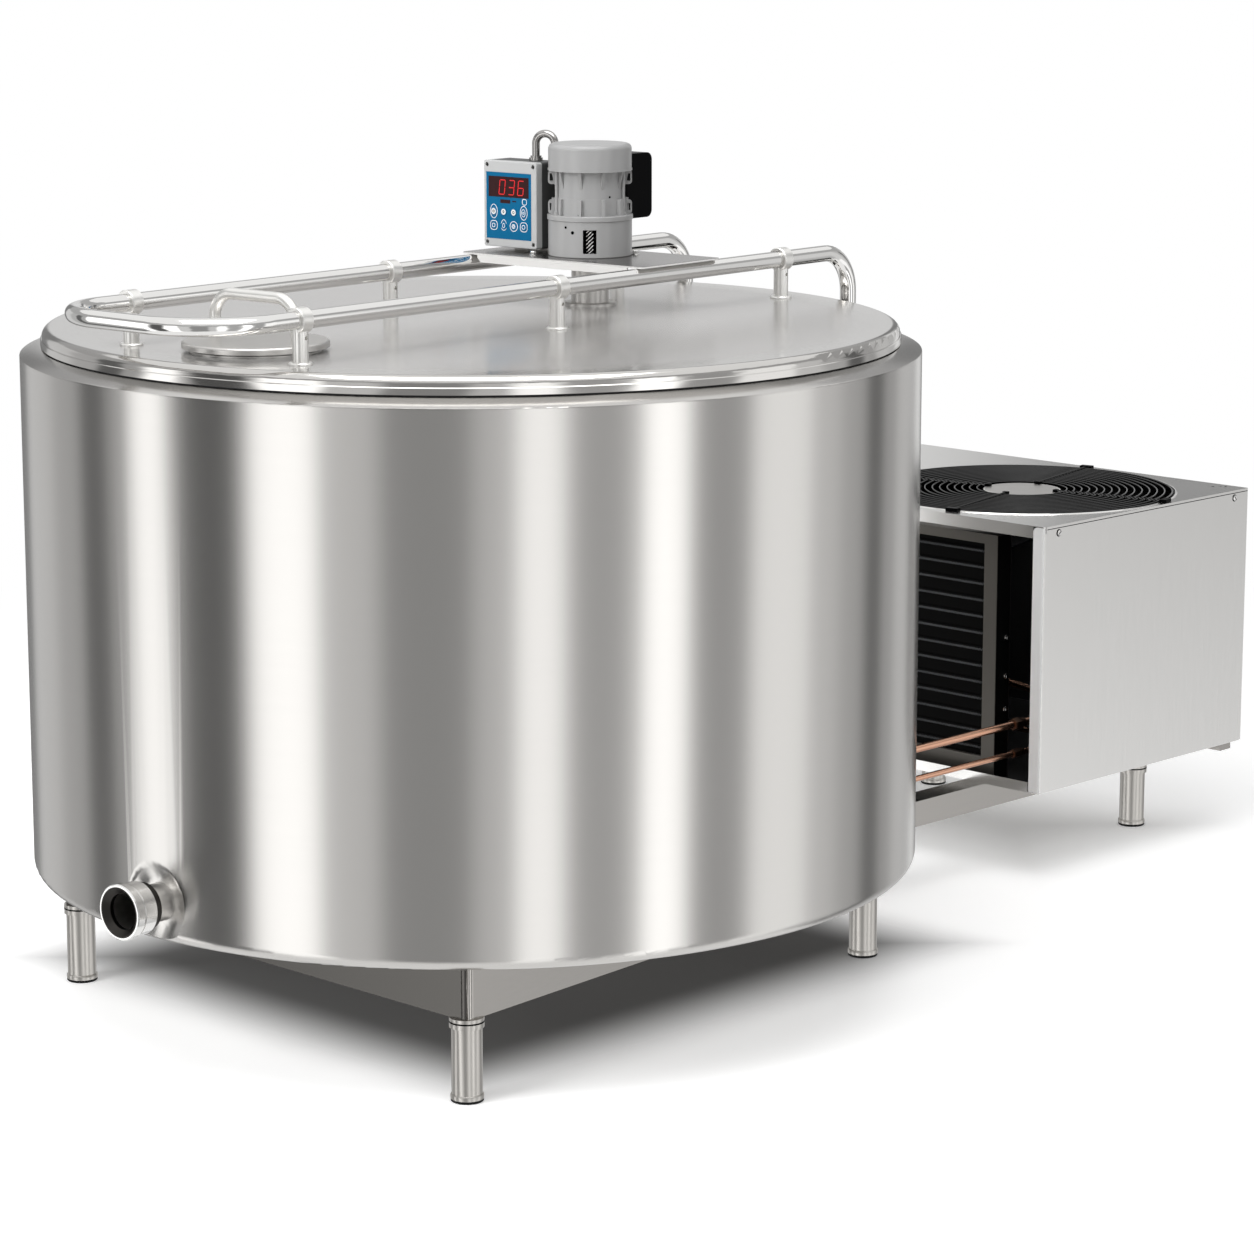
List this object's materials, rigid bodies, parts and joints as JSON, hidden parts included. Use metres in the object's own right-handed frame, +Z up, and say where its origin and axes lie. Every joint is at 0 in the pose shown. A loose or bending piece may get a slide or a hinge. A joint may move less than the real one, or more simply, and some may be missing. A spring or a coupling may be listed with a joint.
{
  "type": "bulk milk cooler",
  "caption": "Round lidded milk cooling tank on legs with a tilting lid, agitator drive, control box, filling port, outlet and condensing unit.",
  "frame": {"origin": "on the floor, under the middle of the whole machine", "axes": "+Z up, +X from the tank towards the condensing unit, -Y the near side"},
  "size_m": [2.2819, 1.2999, 1.2438],
  "materials": {
    "stainless_shell": "vertical brushed stainless",
    "stainless_satin": "satin stainless",
    "stainless_polished": "polished stainless",
    "cast_bright": "bright casting",
    "foam": "rigid foam",
    "seal_rubber": "matte",
    "foot_rubber": "matte",
    "grey_paint": "semi-gloss grey",
    "gear_steel": "machined",
    "black_plastic": "satin",
    "box_plastic": "light grey moulding",
    "overlay_blue": "printed film",
    "key_white": "moulded",
    "fin_black": "black coated fins",
    "black_wire": "black coated wire",
    "copper": "drawn copper",
    "black_paint": "gloss black"
  },
  "bodies": {
    "stand": {"tank_shell": "stainless_shell", "inner_vessel": "stainless_satin", "insulation_foam": "foam", "evaporator_jacket": "stainless_satin", "shoulder_ring": "stainless_satin", "outlet_pipe": "stainless_satin", "outlet_union": "stainless_polished", "hinge_brackets": "stainless_satin", "hinge_pins": "stainless_polished", "frame_panels": "stainless_satin", "leg_tubes": "stainless_satin", "foot_caps": "foot_rubber", "unit_beams": "stainless_satin", "unit_tray": "stainless_satin", "unit_panel_near": "stainless_satin", "unit_panel_far": "stainless_satin", "unit_back_panel": "stainless_satin", "unit_top_panel": "stainless_satin", "condenser_coil": "fin_black", "condenser_frame": "stainless_satin", "fan_guard": "black_wire", "fan_motor": "black_paint", "compressor": "black_paint", "receiver": "black_paint", "suction_line": "copper", "liquid_line": "copper", "discharge_line": "copper", "panel_screws": "stainless_polished"},
    "lid": {"lid": "stainless_satin", "lid_liner": "stainless_satin", "lid_gasket": "seal_rubber", "filler_neck": "stainless_satin", "rail_frame": "stainless_polished", "rail_posts": "cast_bright", "bridge_plate": "stainless_satin", "agitator_hub": "cast_bright", "gearbox_housing": "grey_paint", "gearbox_cover": "grey_paint", "motor_core": "grey_paint", "motor_cap": "grey_paint", "capacitor": "black_plastic", "control_box": "box_plastic", "control_cover": "box_plastic", "keypad_overlay": "overlay_blue", "box_bracket": "stainless_satin", "conduit": "stainless_polished"},
    "fill_cover": {"port_cover": "stainless_satin", "port_handle": "stainless_polished"},
    "agitator": {"agitator_shaft": "stainless_polished", "agitator_paddle": "stainless_satin"},
    "pinion": {"window_gear": "gear_steel"},
    "fan": {"fan_blades": "black_plastic"},
    "key_1": {"key_1": "key_white"},
    "key_2": {"key_2": "key_white"},
    "key_3": {"key_3": "key_white"},
    "key_4": {"key_4": "key_white"},
    "key_5": {"key_5": "key_white"},
    "key_6": {"key_6": "key_white"},
    "key_7": {"key_7": "key_white"},
    "key_8": {"key_8": "key_white"}
  },
  "joints": [
    {"name": "lid_tilt", "type": "hinge", "parent": "stand", "child": "lid", "pos_m": [0.26132, 0.04792, 0.9], "axis": [-0.0698, 0.9976, 0], "range_deg": [0, 75]},
    {"name": "fill_cover_lift", "type": "slide", "parent": "lid", "child": "fill_cover", "axis": [0, 0, 1], "range_m": [0, 0.08]},
    {"name": "agitator_spin", "type": "hinge", "parent": "lid", "child": "agitator", "pos_m": [-0.16265, 0.01828, 1.0618], "axis": [0, 0, 1], "continuous": true},
    {"name": "pinion_spin", "type": "hinge", "parent": "lid", "child": "pinion", "pos_m": [-0.1997, -0.0175, 1.0863], "axis": [0, 0, 1], "continuous": true},
    {"name": "fan_spin", "type": "hinge", "parent": "stand", "child": "fan", "pos_m": [0.86199, 0, 0.53], "axis": [0, 0, 1], "continuous": true},
    {"name": "key_1_press", "type": "slide", "parent": "lid", "child": "key_1", "axis": [0.9976, 0.0698, 0], "range_m": [0, 0.0008], "stiffness_N_per_m": 1200, "springref_m": -0.0006},
    {"name": "key_2_press", "type": "slide", "parent": "lid", "child": "key_2", "axis": [0.9976, 0.0698, 0], "range_m": [0, 0.0008], "stiffness_N_per_m": 1200, "springref_m": -0.0006},
    {"name": "key_3_press", "type": "slide", "parent": "lid", "child": "key_3", "axis": [0.9976, 0.0698, 0], "range_m": [0, 0.0008], "stiffness_N_per_m": 1200, "springref_m": -0.0006},
    {"name": "key_4_press", "type": "slide", "parent": "lid", "child": "key_4", "axis": [0.9976, 0.0698, 0], "range_m": [0, 0.0008], "stiffness_N_per_m": 1200, "springref_m": -0.0006},
    {"name": "key_5_press", "type": "slide", "parent": "lid", "child": "key_5", "axis": [0.9976, 0.0698, 0], "range_m": [0, 0.0008], "stiffness_N_per_m": 1200, "springref_m": -0.0006},
    {"name": "key_6_press", "type": "slide", "parent": "lid", "child": "key_6", "axis": [0.9976, 0.0698, 0], "range_m": [0, 0.0008], "stiffness_N_per_m": 1200, "springref_m": -0.0006},
    {"name": "key_7_press", "type": "slide", "parent": "lid", "child": "key_7", "axis": [0.9976, 0.0698, 0], "range_m": [0, 0.0008], "stiffness_N_per_m": 1200, "springref_m": -0.0006},
    {"name": "key_8_press", "type": "slide", "parent": "lid", "child": "key_8", "axis": [0.9976, 0.0698, 0], "range_m": [0, 0.0008], "stiffness_N_per_m": 1200, "springref_m": -0.0006}
  ],
  "couplings": [
    {"joint": "pinion_spin", "follows": "agitator_spin", "ratio": -6.7}
  ]
}
